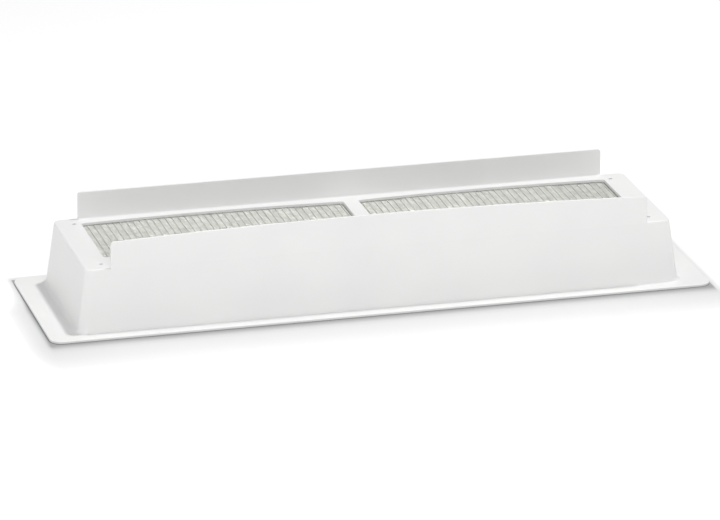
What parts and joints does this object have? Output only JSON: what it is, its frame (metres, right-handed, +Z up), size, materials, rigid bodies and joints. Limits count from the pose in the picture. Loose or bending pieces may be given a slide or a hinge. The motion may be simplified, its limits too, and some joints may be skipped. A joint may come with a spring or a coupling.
{
  "type": "roof vent base",
  "caption": "Rectangular moulded base for a roof vent: flat mounting flange, hollow drafted walls, upright lips along both long edges, and wire cloth screens under long windows.",
  "frame": {"origin": "middle of the flange's underside, at the height of the roof that it rests on", "axes": "+X along the base's length, +Y across it towards the rear lip, +Z up out of the roof"},
  "size_m": [0.686, 0.2, 0.1009],
  "materials": {
    "white_plastic": "white injection moulded plastic, fine satin texture",
    "screen_wire": "galvanised welded wire cloth, dull",
    "spring_steel": "zinc plated spring steel"
  },
  "bodies": {
    "root": {"base_moulding": "white_plastic", "screen_left": "screen_wire", "screen_right": "screen_wire", "screen_retainer_left_1": "spring_steel", "screen_retainer_left_2": "spring_steel", "screen_retainer_left_3": "spring_steel", "screen_retainer_left_4": "spring_steel", "screen_retainer_left_5": "spring_steel", "screen_retainer_left_6": "spring_steel", "screen_retainer_right_1": "spring_steel", "screen_retainer_right_2": "spring_steel", "screen_retainer_right_3": "spring_steel", "screen_retainer_right_4": "spring_steel", "screen_retainer_right_5": "spring_steel", "screen_retainer_right_6": "spring_steel"}
  },
  "joints": []
}
